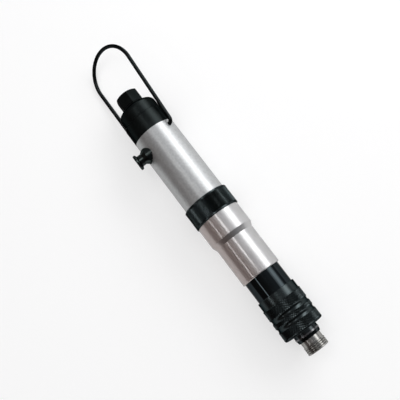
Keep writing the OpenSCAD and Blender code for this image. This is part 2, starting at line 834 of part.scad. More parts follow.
module front_end_plate() {
    z_web = z_front + bearing_len;
    laid("#a9abad") difference() {
        disc(bore_r - fixed, z_front, z_liner);
        disc(front_bearing_d / 2 + fixed, z_front - cut, z_web);
        disc(plate_hole_r, z_front, z_liner + cut);
        dowel_hole(z_web, z_liner + cut);
    }
}

module front_bearing_outer() {
    laid("silver") race_outer(shaft_d / 2 + fixed, front_bearing_d / 2, z_front, bearing_len);
}

module front_bearing_inner() {
    laid("silver") race_inner(shaft_d / 2 + fixed, front_bearing_d / 2, z_front, bearing_len);
}

// Pin that lines the two end plates up with the liner
module motor_dowel() {
    laid("silver") translate([-dowel_r_pos, 0, z_front + bearing_len + fixed])
        cylinder(d = dowel_d, h = z_block - 2 * bearing_len - z_front - 2 * fixed);
}

module sun_pinion() {
    laid("#8a8c90") difference() {
        union() {
            rotate([0, 0, sun_turn]) spur_gear(sun_teeth, z_planet - free / 2, z_front - fixed);
            disc(pinion_spigot_r, z_front - 2 * fixed, z_front + pinion_spigot_len - fixed);
        }
        disc(rod_room_r, z_planet - cut, z_front + pinion_spigot_len + cut);
    }
}

// Knurled ring with one thread over the barrel's spigot and one over the clutch housing's
module coupling_ring() {
    laid("#18191b") rotate_extrude() polygon([
        [spigot_r + fixed, z_ring], [ring_d / 2 - edge, z_ring], [ring_d / 2, z_ring + edge],
        [ring_d / 2, z_barrel - edge], [ring_d / 2 - edge, z_barrel], [spigot_r + fixed, z_barrel]]);
}

module ring_gear() {
    pitch_r = ring_teeth * gear_module / 2;
    laid("#8a8c90") difference() {
        disc(bore_r - fixed, z_gear, z_front);
        translate([0, 0, z_gear - cut]) linear_extrude(ring_gear_len + 2 * cut)
            polygon(gear_outline(ring_teeth, PI * gear_module / 2 + backlash,
                pitch_r - ring_addendum * gear_module, pitch_r + ring_dedendum * gear_module));
    }
}

module planet_gear(index) {
    laid("#9a9ca0") rotate([0, 0, index * 360 / planet_count]) translate([orbit_r, 0, 0]) difference() {
        spur_gear(planet_teeth, z_planet, z_planet + planet_w);
        disc(planet_pin_d / 2 + run, z_planet - cut, z_planet + planet_w + cut);
    }
}

module planet_pins() {
    laid("silver") around(planet_count) translate([orbit_r, 0, 0])
        disc(planet_pin_d / 2, z_planet - free - pin_sink + fixed, z_pin_top);
}

// Carrier disc with three pin holes, and the hollow shaft down to the clutch
module planet_carrier() {
    laid("#85878b") difference() {
        union() {
            disc(carrier_r, z_carrier, z_carrier + carrier_t);
            disc(carrier_shaft_r, z_driver_top + fixed, z_carrier);
            disc(driver_hub_r, z_driver, z_driver_top + fixed);
        }
        disc(rod_room_r, z_driver - cut, z_carrier + carrier_t + cut);
        around(planet_count) translate([orbit_r, 0, 0])
            disc(planet_pin_d / 2 + fixed, z_planet - free - pin_sink, z_planet);
    }
}

module carrier_bearing_outer() {
    laid("silver") race_outer(carrier_shaft_r + fixed, bearing_seat_r - fixed,
        z_carrier_bearing, carrier_bearing_len);
}

module carrier_bearing_inner() {
    laid("silver") race_inner(carrier_shaft_r + fixed, bearing_seat_r - fixed,
        z_carrier_bearing, carrier_bearing_len);
}

// Clutch housing: slim part, rounded step, wide part and the spigot inside the coupling ring
module clutch_housing() {
    low_r = clutch_low_d / 2;
    high_r = clutch_high_d / 2;
    foot = [low_r, z_step_low];
    brow = [high_r, z_step_high];
    laid("#d0cfcf") rotate_extrude() polygon([
        [bearing_seat_r, z_clutch], [low_r - edge, z_clutch], [low_r, z_clutch + edge],
        each round_corner([low_r, z_clutch], foot, brow, step_round),
        each round_corner(foot, brow, [high_r, z_ring], step_round),
        [high_r, z_ring], [spigot_r, z_ring], [spigot_r, z_joint],
        [bore_r, z_joint], [bore_r, z_gear], [bearing_seat_r, z_gear],
        [bearing_seat_r, z_carrier_bearing], [clutch_bore_r, z_carrier_bearing],
        [clutch_bore_r, z_bore_step], [bearing_seat_r, z_bore_step]]);
}

module ball_pockets() {
    around(clutch_ball_count) translate([ball_circle_r, 0, z_clutch_ball]) sphere(r = pocket_r);
}

module clutch_driver() {
    laid("#7d7f83") difference() {
        ring(clutch_r, driver_hub_r + fixed, z_driver, z_driver_top);
        ball_pockets();
    }
}

module clutch_balls() {
    laid("silver") around(clutch_ball_count)
        translate([ball_circle_r, 0, z_clutch_ball]) sphere(d = clutch_ball_d);
}

// Driven plate: ball pockets on top, and a hub with the hexagon that the spindle slides in
module clutch_plate() {
    laid("#7d7f83") difference() {
        union() {
            disc(clutch_r, z_plate, z_plate_top);
            disc(plate_hub_r, z_plate - plate_hub_len, z_plate);
        }
        hex_rod(drive_af + 2 * drive_gap, z_plate - plate_hub_len - cut, z_plate_top + cut);
        ball_pockets();
    }
}

module thrust_bearing() {
    laid("silver") {
        ring(thrust_out_r, thrust_in_r, z_thrust, z_thrust + thrust_washer_t);
        around(thrust_balls)
            translate([(thrust_in_r + thrust_out_r) / 2, 0, z_plate - fixed - thrust_ball_d / 2])
                sphere(d = thrust_ball_d);
    }
}

module clutch_spring() {
    laid("#9b9da0") translate([0, 0, z_seat_top + fixed])
        coil_spring(spring_mean_r, spring_wire, z_thrust - z_seat_top - 2 * fixed, spring_turns);
}

// Gloss tube under the collar: thread into the clutch housing, and slots for the seat's pins
module adjust_tube() {
    slot_low = z_pin - adjust_down - free - seat_pin_d / 2;
    slot_high = z_pin + adjust_up + free + seat_pin_d / 2;
    laid("#121316") difference() {
        rotate_extrude() polygon([
            [tube_bore_r, z_tube], [tube_r, z_tube], [tube_r, z_clutch], [thread_r, z_clutch],
            [thread_r, z_clutch + tube_thread_len], [tube_bore_r, z_clutch + tube_thread_len]]);
        around(seat_pins_count) translate([0, -slot_w / 2, slot_low])
            cube([tube_r + cut, slot_w, slot_high - slot_low]);
    }
}

module spring_seat() {
    laid("#8f9195") difference() {
        ring(tube_bore_r - free, stop_r + 2 * free, z_pin - seat_t / 2, z_seat_top);
        around(seat_pins_count) radial(z_pin, 0) cylinder(d = seat_pin_d + 2 * fixed, h = tube_r);
    }
}

// Three pins that reach through the tube's slots into the collar's inner groove
module seat_pins() {
    pin_in = stop_r + 3 * free;
    laid("silver") around(seat_pins_count) radial(z_pin, 0)
        translate([0, 0, pin_in]) cylinder(d = seat_pin_d, h = pin_tip_r - pin_in);
}

// Points of a round groove in the collar, from z upwards
function collar_hollow(z) =
    let (half = collar_groove / 2, depth = collar_groove_depth,
        r = (half * half + depth * depth) / (2 * depth), sweep = asin(half / r))
    [for (i = [-corner_steps:corner_steps])
        let (angle = sweep * i / corner_steps)
        [knurl_r - depth + r - r * cos(angle), z + half + r * sin(angle)]];

// Adjusting collar: three knurled bands, two round grooves and a plain band, with a groove inside
module torque_collar() {
    plain_r = collar_plain_d / 2;
    groove_half = seat_pin_d / 2 + free;
    lip = [knurl_r, z_collar];
    step = [knurl_r, z_plain_band];
    laid("#1b1c1e") rotate_extrude() polygon([
        [collar_bore_r, z_collar],
        each round_corner([collar_bore_r, z_collar], lip, [knurl_r, z_groove_low], collar_edge),
        each collar_hollow(z_groove_low),
        each collar_hollow(z_groove_high),
        each round_corner([knurl_r, z_high_band], step, [plain_r, z_plain_band], band_round),
        [plain_r, z_plain_band], [plain_r, z_collar_top - edge / 2],
        [plain_r - edge / 2, z_collar_top], [collar_bore_r, z_collar_top],
        [collar_bore_r, z_pin + groove_half], [collar_groove_r, z_pin + groove_half],
        [collar_groove_r, z_pin - groove_half], [collar_bore_r, z_pin - groove_half]]);
}

// Nose: pocket for the sleeve, lip and seat for the bush, flange and thread for the tube
module nose_bush() {
    ring_low = nose_ring_z - nose_ring_t / 2 - fixed;
    ring_high = nose_ring_z + nose_ring_t / 2 + fixed;
    groove_r = nose_r - nose_ring_grip;
    z_lip = z_pocket_top + bush_lip;
    laid("#1a1b1d") rotate_extrude() polygon([
        [sleeve_pocket_r, z_nose], [nose_r - nose_taper, z_nose],
        [nose_r, ring_low], [groove_r, ring_low], [groove_r, ring_high], [nose_r, ring_high],
        [nose_r, z_flange], [tube_r, z_flange], [tube_r, z_tube], [tube_bore_r - fixed, z_tube],
        [tube_bore_r - fixed, z_nose_top], [bush_r + fixed, z_nose_top], [bush_r + fixed, z_lip],
        [spindle_r + free, z_lip], [spindle_r + free, z_pocket_top],
        [sleeve_pocket_r, z_pocket_top]]);
}

module spindle_bush() {
    laid("#b5894a") ring(bush_r, spindle_r + run, z_pocket_top + bush_lip, z_nose_top);
}

module nose_ring() {
    laid("#3c3d40") ring(nose_ring_d / 2, nose_r - nose_ring_grip + fixed,
        nose_ring_z - nose_ring_t / 2, nose_ring_z + nose_ring_t / 2);
}

// Output spindle: bit socket, ball holes, snap ring groove, stop collar, shaft and drive hexagon
module output_spindle() {
    z_stop = z_nose_top + stop;
    drive_low = z_plate - plate_hub_len - push_travel - drive_spare;
    laid("#b9babd") difference() {
        union() {
            disc(spindle_r, 0, z_stop);
            disc(stop_r, z_stop, z_stop + stop_t);
            disc(shaft_r, z_stop + stop_t, drive_low);
            hex_rod(drive_af, drive_low, z_spindle_top);
        }
        hex_rod(bit_af, -cut, bit_depth);
        ring(spindle_r + cut, spindle_r - snap_grip, snap_z - fixed, snap_z + snap_t + fixed);
        for (side = [-1, 1]) translate([0, side * ball_r_pos, z_ball])
            rotate([90, 0, 0]) cylinder(d = bit_ball_d + 2 * fixed, h = spindle_r, center = true);
    }
}

module bit_balls() {
    laid("silver") for (side = [-1, 1]) translate([0, side * ball_r_pos, z_ball]) sphere(d = bit_ball_d);
}

module sleeve_snap_ring() {
    laid("#777777") ring(sleeve_bore_r - free, spindle_r - snap_grip + fixed, snap_z, snap_z + snap_t);
}

module sleeve_spring() {
    mean_r = (spindle_r + sleeve_bore_r) / 2;
    z_low = snap_z + snap_t + fixed;
    laid("silver") translate([0, 0, z_low])
        coil_spring(mean_r, sleeve_wire, land_z - fixed - z_low, sleeve_turns);
}

// Bit sleeve: ribbed grip, plain neck, and inside a land that holds the balls in
module bit_sleeve() {
    rib_r = sleeve_rib_d / 2;
    neck_r = sleeve_neck_d / 2;
    laid("#d5d6d8") difference() {
        rotate_extrude() polygon([
            [sleeve_bore_r, 0], [rib_r - edge, 0], [rib_r, edge], [rib_r, sleeve_rib_len - edge / 2],
            [rib_r - edge / 2, sleeve_rib_len], [neck_r, sleeve_rib_len], [neck_r, z_sleeve_top],
            [sleeve_bore_r, z_sleeve_top], [sleeve_bore_r, land_z + land_len],
            [spindle_r + run, land_z + land_len], [spindle_r + run, land_z], [sleeve_bore_r, land_z]]);
        for (i = [1:sleeve_ribs - 1])
            torus(rib_r + rib_depth / 2, rib_depth, edge + i * rib_pitch);
    }
}

bail_hanger();
inlet_bushing();
inlet_strainer();
rear_head();
head_o_ring();
throttle_seat();
throttle_valve();
throttle_spring();
push_rod();
motor_housing();
valve_block();
reverse_bushing();
reverse_button();
reverse_spool();
reverse_clip();
spool_o_rings();
reverse_spring();
rear_end_plate();
rear_bearing_outer();
rear_bearing_inner();
cylinder_liner();
rotor();
rotor_vanes();
front_end_plate();
front_bearing_outer();
front_bearing_inner();
motor_dowel();
sun_pinion();
coupling_ring();
ring_gear();
planet_gear(0);  // planet_gear_1
planet_gear(1);  // planet_gear_2
planet_gear(2);  // planet_gear_3
planet_pins();
planet_carrier();
carrier_bearing_outer();
carrier_bearing_inner();
clutch_housing();
clutch_driver();
clutch_balls();
clutch_plate();
thrust_bearing();
clutch_spring();
adjust_tube();
spring_seat();
seat_pins();
torque_collar();
nose_bush();
spindle_bush();
nose_ring();
output_spindle();
bit_balls();
sleeve_snap_ring();
sleeve_spring();
bit_sleeve();
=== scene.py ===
# %% [markdown]
# # A straight air screwdriver
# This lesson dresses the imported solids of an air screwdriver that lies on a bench. The solids hold
# every size and every joint, so nothing here is moved or stretched. We add what a drawing leaves
# out: the cut of the knurls, the pipe thread, the finish of each metal, the light and the camera.

# %% Load the solids
import json
import math

import bmesh
import bpy
from mathutils import Matrix, Vector


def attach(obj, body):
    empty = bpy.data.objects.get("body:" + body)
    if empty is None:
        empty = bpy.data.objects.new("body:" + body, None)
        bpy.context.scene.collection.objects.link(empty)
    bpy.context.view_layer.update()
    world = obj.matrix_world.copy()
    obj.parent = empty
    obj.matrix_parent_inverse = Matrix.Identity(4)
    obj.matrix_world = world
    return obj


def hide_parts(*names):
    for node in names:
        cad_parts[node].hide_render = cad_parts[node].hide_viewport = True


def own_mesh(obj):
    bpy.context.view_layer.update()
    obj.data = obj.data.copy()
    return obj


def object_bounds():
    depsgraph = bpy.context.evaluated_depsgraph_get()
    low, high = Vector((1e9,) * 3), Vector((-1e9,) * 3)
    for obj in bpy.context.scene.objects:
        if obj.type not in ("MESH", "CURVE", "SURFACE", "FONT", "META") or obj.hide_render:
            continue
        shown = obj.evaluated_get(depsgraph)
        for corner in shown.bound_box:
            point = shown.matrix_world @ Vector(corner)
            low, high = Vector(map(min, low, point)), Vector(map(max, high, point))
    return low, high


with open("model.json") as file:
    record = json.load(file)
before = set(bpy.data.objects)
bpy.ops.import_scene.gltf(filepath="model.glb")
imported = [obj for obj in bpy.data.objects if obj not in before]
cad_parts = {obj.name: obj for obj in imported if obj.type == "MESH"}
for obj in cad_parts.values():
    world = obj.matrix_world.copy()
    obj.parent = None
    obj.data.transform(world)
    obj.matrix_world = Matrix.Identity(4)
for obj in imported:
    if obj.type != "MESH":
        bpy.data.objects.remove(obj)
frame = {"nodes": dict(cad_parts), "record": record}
solid_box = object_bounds()
nodes = frame["nodes"]
scene = bpy.context.scene
MM = 0.001
print("solids:", len(nodes), "box in mm:", [[round(c / MM, 1) for c in corner] for corner in solid_box])

# %% [markdown]
# ## The camera
# The picture was taken from straight above, with the nose a little towards the lens. We could
# place the camera by eye and turn it until it fits, but three directions say it better: one towards
# the lens, one along the tool as the picture sees it, and one across it. The turn of the picture
# then only mixes the last two.

# %% Directions of the picture
NOSE, SIDE, UP = Vector((1, 0, 0)), Vector((0, 1, 0)), Vector((0, 0, 1))
nose_tilt = math.radians(11.0)
picture_turn = math.radians(52.71)
towards_lens = NOSE * math.sin(nose_tilt) + UP * math.cos(nose_tilt)
along_tool = NOSE * math.cos(nose_tilt) - UP * math.sin(nose_tilt)
picture_right = along_tool * math.cos(picture_turn) + SIDE * math.sin(picture_turn)
picture_up = SIDE * math.cos(picture_turn) - along_tool * math.sin(picture_turn)
print("the lens lies towards", [round(c, 3) for c in towards_lens])

# %% Camera
aim = Vector((-137.7, -3.1, 0)) * MM
lens_distance = 487.5 * MM
lens_length, film_width = 58.5, 36
nearest_seen = 10 * MM


def placed(point, right, up, back):
    """The placing of a camera or a lamp from its point and its three directions."""
    return Matrix.Translation(point) @ Matrix((right, up, back)).transposed().to_4x4()


camera = bpy.data.objects.new("camera", bpy.data.cameras.new("camera"))
camera.data.lens = lens_length
camera.data.sensor_width = film_width
camera.data.clip_start = nearest_seen
scene.collection.objects.link(camera)
camera.matrix_world = placed(aim + towards_lens * lens_distance, picture_right, picture_up, towards_lens)
scene.camera = camera
print("camera at", [round(c, 4) for c in camera.location])

# %% [markdown]
# ## The room
# Bare metal has hardly any colour of its own: it shows what stands around it. An even grey room
# would be quick, but it would leave the metal flat, so the room is shaped to be seen in it. It is
# dim and warm on one side and lighter on the other, as beside a window, and it is dimmer still past
# the two ends of the tool. The step of the clutch housing leans towards the nose: it mirrors the dim
# end and gets its dark band. The Standard view passes the colours on unchanged.

# %% Small helpers for node trees


def mapped(tree, value, start, end, low=0.0, high=1.0, curve="LINEAR"):
    """A value that runs from low to high while the given one runs from start to end."""
    stretch = tree.nodes.new("ShaderNodeMapRange")
    stretch.interpolation_type = curve
    for socket, number in (("From Min", start), ("From Max", end), ("To Min", low), ("To Max", high)):
        stretch.inputs[socket].default_value = number
    tree.links.new(value, stretch.inputs["Value"])
    return stretch.outputs["Result"]


def combined(tree, operation, first, second):
    """One value from two, each of them a socket or a plain number."""
    sum_up = tree.nodes.new("ShaderNodeMath")
    sum_up.operation = operation
    for socket, value in zip(sum_up.inputs, (first, second)):
        if isinstance(value, float):
            socket.default_value = value
        else:
            tree.links.new(value, socket)
    return sum_up.outputs["Value"]


def blend_colours(tree, value, first, second):
    """A colour that runs from the first to the second as the value goes from 0 to 1."""
    mix = tree.nodes.new("ShaderNodeMix")
    mix.data_type = "RGBA"
    mix.inputs["A"].default_value = (*first, 1)
    mix.inputs["B"].default_value = (*second, 1)
    tree.links.new(value, mix.inputs["Factor"])
    return mix.outputs["Result"]


# %% Room
scene.view_settings.view_transform = "Standard"
room = bpy.data.worlds.new("room")
scene.world = room
room.use_nodes = True
room_tree = room.node_tree
direction = room_tree.nodes.new("ShaderNodeTexCoord").outputs["Generated"]
dim_side, light_side, side_stretch = (0.12, 0.10, 0.095), (0.35, 0.36, 0.38), (-0.6, 0.45)
nose_strength, nose_stretch = 0.3, (0.10, 0.45)
tail_strength, tail_stretch = 0.85, (0.55, 0.95)


def leaning(axis):
    """How far each direction of the room leans towards an axis, from -1 to 1."""
    along = room_tree.nodes.new("ShaderNodeVectorMath")
    along.operation = "DOT_PRODUCT"
    along.inputs[1].default_value = axis
    room_tree.links.new(direction, along.inputs[0])
    return along.outputs["Value"]


walls = blend_colours(room_tree, mapped(room_tree, leaning(SIDE), *side_stretch), dim_side, light_side)
both_ends = combined(room_tree, "MULTIPLY",
                     mapped(room_tree, leaning(NOSE), *nose_stretch, 1.0, nose_strength),
                     mapped(room_tree, leaning(-NOSE), *tail_stretch, 1.0, tail_strength))
room_back = room_tree.nodes["Background"]
room_tree.links.new(walls, room_back.inputs["Color"])
room_tree.links.new(both_ends, room_back.inputs["Strength"])
print("room from", dim_side, "to", light_side)

# %% [markdown]
# ## The lamps
# The lamps, too, are shaped to be seen in the metal. The lens looks from the nose's side, so a
# straight cylinder mirrors what stands a little towards the tail, and the lamps are set there. A wide
# box on the light side, with a brighter core before it, gives the white band with soft edges along
# the barrel and the small glints in the hollows of the collar. A box further back lights the
# slanting sides of its knurl. Two thin strips give the fine lines on the polished housing. The black
# tube lies nearer to the nose and mirrors other directions, so the middle strip ends where little
# more than the housing and the barrel see it. A large sheet above lights matt surfaces evenly. It is
# kept out of reflections, where it would show as a glare that the polished metal doesn't have.

# %% Lamps
tool_middle = Vector((-120, 0, 0)) * MM


def lamp(name, around, tailward, distance, length, width, brightness):
    """A flat lamp, turned by degrees around the tool from straight above and then towards its tail."""
    turn, back = math.radians(around), math.radians(tailward)
    beside = UP * math.cos(turn) + SIDE * math.sin(turn)
    out = beside * math.cos(back) - NOSE * math.sin(back)
    along = NOSE * math.cos(back) + beside * math.sin(back)
    light = bpy.data.lights.new(name, "AREA")
    light.shape = "RECTANGLE"
    light.size, light.size_y = length, width
    light.energy = brightness * math.pi * length * width
    lamp_object = bpy.data.objects.new(name, light)
    lamp_object.matrix_world = placed(tool_middle + out * distance, along, out.cross(along), out)
    scene.collection.objects.link(lamp_object)
    print("lamp", name, "power", round(light.energy, 2))
    return lamp_object


lamp("bright_box", around=55, tailward=13, distance=1.1, length=1.0, width=0.68, brightness=1.9)
lamp("bright_core", around=56, tailward=13, distance=1.08, length=1.0, width=0.34, brightness=2.4)
lamp("knurl_box", around=70, tailward=50, distance=1.0, length=0.30, width=0.35, brightness=6.0)
lamp("middle_strip", around=-4.5, tailward=12.9, distance=1.0, length=0.425, width=0.16, brightness=4.6)
lamp("left_strip", around=-46, tailward=1, distance=1.0, length=0.38, width=0.075, brightness=5.0)
sheet = lamp("overhead_sheet", around=0, tailward=0, distance=1.3, length=1.8, width=1.8, brightness=1.0)
sheet.visible_glossy = False

# %% [markdown]
# ## The bench
# A pale, matt surface under the tool. It is plain on purpose: it only has to take the shadow. A
# real white sweep is lit apart from the object. More lamps would do that here too, but they would
# also bleach the metal. So a share of the surface shines by itself for the lens and for mirror
# images: the ground comes out white and the shadow stays soft.

# %% Bench
floor_level = solid_box[0][2]
bench_size, bench_cells = 6.0, 4


def mesh_object(name, shape):
    """A new object in the scene from a finished bmesh."""
    data = bpy.data.meshes.new(name)
    shape.to_mesh(data)
    shape.free()
    made = bpy.data.objects.new(name, data)
    scene.collection.objects.link(made)
    return made


bench_shape = bmesh.new()
bmesh.ops.create_grid(bench_shape, x_segments=bench_cells, y_segments=bench_cells, size=bench_size / 2)
bench = mesh_object("bench", bench_shape)
bench.location = (tool_middle.x, 0, floor_level)
print("bench at", round(floor_level / MM, 2), "mm")

# %% Finish of the bench
bench_white, bench_roughness = 0.95, 0.9
white_glow, glow_share = 1.0, 0.55
bench_finish = bpy.data.materials.new("bench_white")
bench_finish.use_nodes = True
bench_tree = bench_finish.node_tree
bench_shader = bench_tree.nodes["Principled BSDF"]
bench_shader.inputs["Base Color"].default_value = (bench_white, bench_white, bench_white, 1)
bench_shader.inputs["Roughness"].default_value = bench_roughness
glow = bench_tree.nodes.new("ShaderNodeEmission")
glow.inputs["Strength"].default_value = white_glow
seen = bench_tree.nodes.new("ShaderNodeLightPath").outputs
lens_or_mirror = combined(bench_tree, "MAXIMUM", seen["Is Camera Ray"], seen["Is Glossy Ray"])
seen_at_all = combined(bench_tree, "MAXIMUM", lens_or_mirror, seen["Is Transmission Ray"])
bench_mix = bench_tree.nodes.new("ShaderNodeMixShader")
bench_tree.links.new(combined(bench_tree, "MULTIPLY", seen_at_all, glow_share), bench_mix.inputs["Fac"])
bench_tree.links.new(bench_shader.outputs["BSDF"], bench_mix.inputs[1])
bench_tree.links.new(glow.outputs["Emission"], bench_mix.inputs[2])
bench_tree.links.new(bench_mix.outputs["Shader"], bench_tree.nodes["Material Output"].inputs["Surface"])
bench.data.materials.append(bench_finish)
print("bench shines with a share of", glow_share)

# %% [markdown]
# ## How a knurl is cut
# A knurl is rolled or cut into a turned surface by two sets of grooves that cross, which leaves rows
# of small pyramids. A bump texture could fake it, but the outline would stay smooth and the points
# would not catch the light one by one. So we build the turned piece itself from rings of points.
# Each ring has one radius for its even points and one for its odd points, so a ring can be smooth,
# lie in a groove, or carry a tip at every second point. Where grooves slant, every ring carries tips,
# and the next ring is shifted by one point. Where they run straight, rings with tips and rings in a
# groove take turns. Each square between four points is then split along its ridge or its groove,
# and that makes exact pyramids.

# %% Sizes read from a turned solid


def turned_points(node):
    """(station, radius) in mm of all points of a turned solid; stations count back from the mouth."""
    return [(-v.co.x / MM, math.hypot(v.co.y, v.co.z) / MM) for v in nodes[node].data.vertices]


def reach(points):
    """The first and last station, and the smallest and largest radius, of such points."""
    stations, radii = zip(*points)
    return min(stations), max(stations), min(radii), max(radii)


# %% Rows of a turned surface


def plain_row(station, radius):
    """One ring of points on a smooth surface."""
    return station, radius, radius


def slanting_knurl(start, end, radius, depth, pitch):
    """A band of diamonds between two smooth edges, with its tips at the radius."""
    count = round((end - start) / (pitch / 2))
    step = (end - start) / count
    rows = [plain_row(start, radius)]
    for i in range(count):
        pair = (radius, radius - depth) if i % 2 else (radius - depth, radius)
        rows.append((start + (i + 0.5) * step, *pair))
    return [*rows, plain_row(end, radius)]


def straight_knurl(start, end, radius, depth, pitch):
    """A band of upright squares between two smooth edges, with its tips at the radius."""
    count = 2 * round((end - start) / pitch)
    step = (end - start) / (count + 1)
    rows = [plain_row(start, radius)]
    for i in range(count + 1):
        rows.append((start + (i + 0.5) * step, radius - depth, radius if i % 2 else radius - depth))
    return [*rows, plain_row(end, radius)]


def tips_around(radius, pitch):
    """How many tips of a knurl fit round a radius."""
    return round(2 * math.pi * radius / pitch)


# %% A builder for turned and knurled pieces
sharp_angle = math.radians(24)


def split_corner(radii):
    """The corner where the line that splits a square starts, or None where the square stays whole."""
    low = min(radii)
    tops = [k for k, radius in enumerate(radii) if radius > low]
    if len(tops) == 1:
        return tops[0]
    if len(tops) == 3:
        return radii.index(low)
    if len(tops) == 2 and tops[1] - tops[0] == 2:
        return (tops[0] + 1) % 4
    return None


def turned_point(station, radius, turn):
    """A point of a turned surface, in metres."""
    return Vector((-station, radius * math.sin(turn), radius * math.cos(turn))) * MM


def crisp(data):
    """Smooth shading that still shows every edge that is steeper than the sharp angle."""
    data.shade_smooth()
    data.set_sharp_from_angle(angle=sharp_angle)


def turned_piece(name, rows, pairs):
    """A closed turned piece. The rows of (station, even radius, odd radius) run once round its section."""
    columns = 2 * pairs
    shape = bmesh.new()
    rings = []
    for station, *radii in rows:
        rings.append([shape.verts.new(turned_point(station, radii[column % 2], math.pi * column / pairs))
                      for column in range(columns)])
    for level, ring in enumerate(rings):
        beyond = (level + 1) % len(rings)
        here, there = rows[level][1:], rows[beyond][1:]
        for column in range(columns):
            after = (column + 1) % columns
            square = (ring[column], ring[after], rings[beyond][after], rings[beyond][column])
            first = split_corner((here[column % 2], here[after % 2], there[after % 2], there[column % 2]))
            if first is None:
                shape.faces.new(square)
            else:
                a, b, c, d = square[first:] + square[:first]
                shape.faces.new((a, b, c))
                shape.faces.new((a, c, d))
    bmesh.ops.recalc_face_normals(shape, faces=shape.faces)
    piece = mesh_object(name, shape)
    crisp(piece.data)
    print(name, "rows", len(rows), "faces", len(piece.data.polygons))
    return piece


# %% [markdown]
# ## The coupling ring
# A black ring screws the motor barrel and the clutch housing together. Its knurl is fine, about a
# millimetre from point to point, because it is gripped with bare fingers only when the tool is
# taken apart. Its grooves run straight along and round the ring. A narrow smooth edge is left on
# both sides, where the knurling wheel stops. We read the outer sizes from the solid and only choose
# the cut, so the ring can't drift from the drawing.

# %% Knurled coupling ring
ring_start, ring_end, ring_bore, ring_radius = reach(turned_points("coupling_ring"))
ring_chamfer = 0.5
ring_border = 1.3
ring_pitch = 0.95
ring_knurl_depth = 0.43
ring_knurl = straight_knurl(ring_start + ring_border, ring_end - ring_border, ring_radius,
                            ring_knurl_depth, ring_pitch)
knurled_ring = turned_piece("knurled_ring", [
    plain_row(ring_start, ring_bore),
    plain_row(ring_start, ring_radius - ring_chamfer),
    plain_row(ring_start + ring_chamfer, ring_radius),
    *ring_knurl,
    plain_row(ring_end - ring_chamfer, ring_radius),
    plain_row(ring_end, ring_radius - ring_chamfer),
    plain_row(ring_end, ring_bore),
], tips_around(ring_radius, ring_pitch))
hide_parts("coupling_ring")
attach(knurled_ring, "housing")

# %% [markdown]
# ## The torque collar
# The collar sets the torque: turning it moves the spring's seat along the black tube. Its three
# bands have a coarser knurl for a firm grip, with two hollow grooves between them and a smooth band
# behind. The hollows are arcs, so we work out the radius of each arc from its width and its depth.
# Inside, the solid has a groove for the pins of the seat. We read its place from the solid, so that
# the pins still find it.

# %% Sizes of the collar
collar_points = turned_points("torque_collar")
collar_start, collar_end, collar_bore, collar_radius = reach(collar_points)
band_lengths = {"front": 8.1, "middle": 3.6, "back": 8.2, "smooth": 6.6}
hollow_width = 3.4
hollow_depth = 0.75
front_end = collar_start + band_lengths["front"]
middle_start = front_end + hollow_width
middle_end = middle_start + band_lengths["middle"]
back_start = middle_end + hollow_width
back_end = back_start + band_lengths["back"]
# Two readings closer than this, in mm, count as the same
CLOSE = 0.01
bore_stations = sorted({round(s, 2) for s, r in collar_points if r < collar_bore + CLOSE})
groove_low, groove_high = bore_stations[1:3]
groove_radius = max(r for s, r in collar_points if abs(s - groove_low) < CLOSE)
print("collar ends at", round(back_end + band_lengths["smooth"], 2),
      "and the solid at", round(collar_end, 2))

# %% Bands, hollows and corners of the collar
collar_pitch = 1.65
collar_knurl_depth = 0.38
collar_edge = 0.08


def hollow_rows(start, steps=6):
    """The arc of a hollow groove, without its two ends."""
    half = hollow_width / 2
    arc = (half ** 2 + hollow_depth ** 2) / (2 * hollow_depth)
    across = [half * (2 * i / steps - 1) for i in range(1, steps)]
    sink = arc - hollow_depth
    return [plain_row(start + half + x, collar_radius - (math.sqrt(arc ** 2 - x ** 2) - sink))
            for x in across]


def round_rows(station, radius, size, towards_nose, steps=5):
    """A rounded outer corner that starts or ends at the given station."""
    turns = [math.pi / 2 * i / steps for i in range(steps + 1)]
    if towards_nose:
        return [plain_row(station + size * (1 - math.sin(t)), radius - size * (1 - math.cos(t)))
                for t in reversed(turns)]
    return [plain_row(station - size * (1 - math.sin(t)), radius - size * (1 - math.cos(t)))
            for t in turns]


def collar_band(start, end):
    """A knurled band of the collar with a narrow smooth edge on both sides."""
    return [plain_row(start, collar_radius),
            *slanting_knurl(start + collar_edge, end - collar_edge, collar_radius, collar_knurl_depth,
                            collar_pitch),
            plain_row(end, collar_radius)]


# %% Knurled torque collar
collar_smooth_radius = 15.75
collar_lip = 1.2
collar_step = 0.4
collar_chamfer = 0.25
knurled_collar = turned_piece("knurled_collar", [
    plain_row(collar_start, collar_bore),
    *round_rows(collar_start, collar_radius, collar_lip, towards_nose=True),
    *collar_band(collar_start + collar_lip + collar_edge, front_end),
    *hollow_rows(front_end),
    *collar_band(middle_start, middle_end),
    *hollow_rows(middle_end),
    *collar_band(back_start, back_end - collar_step - collar_edge),
    *round_rows(back_end, collar_radius, collar_step, towards_nose=False, steps=3),
    plain_row(back_end, collar_smooth_radius),
    plain_row(collar_end - collar_chamfer, collar_smooth_radius),
    plain_row(collar_end, collar_smooth_radius - collar_chamfer),
    plain_row(collar_end, collar_bore),
    plain_row(groove_high, collar_bore),
    plain_row(groove_high, groove_radius),
    plain_row(groove_low, groove_radius),
    plain_row(groove_low, collar_bore),
], tips_around(collar_radius, collar_pitch))
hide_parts("torque_collar")
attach(knurled_collar, "torque_ring")

# %% [markdown]
# ## The bit sleeve
# Sliding this sleeve forward frees the bit. Its front part is ribbed for the finger tips, and behind
# it is a slim polished neck. The solid has shallow ribs. Here they are cut as sharp V grooves, so
# that each rib shows its own edge. The inner land that rides on the spindle is read from the solid.

